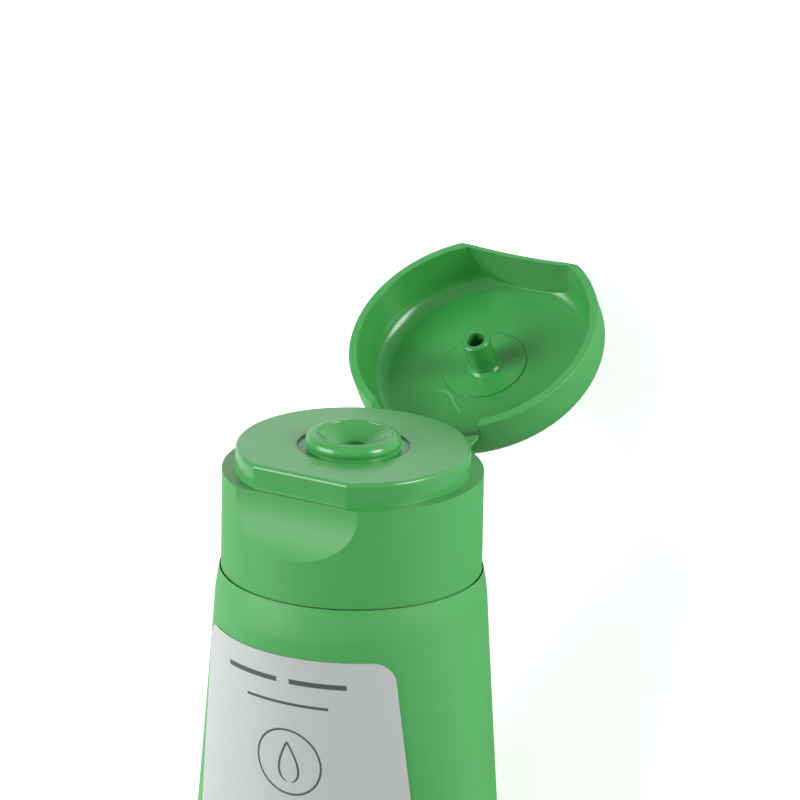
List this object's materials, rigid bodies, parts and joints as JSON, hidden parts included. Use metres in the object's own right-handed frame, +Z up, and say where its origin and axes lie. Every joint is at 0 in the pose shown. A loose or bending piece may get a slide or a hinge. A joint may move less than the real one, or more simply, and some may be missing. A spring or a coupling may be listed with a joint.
{
  "type": "face cream tube",
  "caption": "Squeeze tube with a flat sealed end and a hinged flip-top cap with a nozzle, lying on its back with the lid open.",
  "frame": {"origin": "on the surface that the tube lies on, under the middle of its overall box", "axes": "+Z up, +Y from the sealed end towards the cap along the floor, +X across the flat seal to the right seen from the label side"},
  "size_m": [0.055, 0.1332, 0.0524],
  "materials": {
    "sleeve": "soft matt polyethylene",
    "cap": "fine matt outside, smooth and slightly glossy on the deck and inside the lid",
    "label": "satin silver-grey film",
    "cream": "soft white cream"
  },
  "bodies": {
    "tube": {"tube_sleeve": "sleeve", "label": "label", "tube_head": "sleeve", "cap_body": "cap", "living_hinge": "cap", "cream_fill": "cream"},
    "lid": {"lid": "cap"}
  },
  "joints": [
    {"name": "lid_hinge", "type": "hinge", "parent": "tube", "child": "lid", "pos_m": [0, 0.04195, 0.02345], "axis": [1, 0, 0], "range_deg": [0, 148], "deforming": ["living_hinge"]}
  ]
}
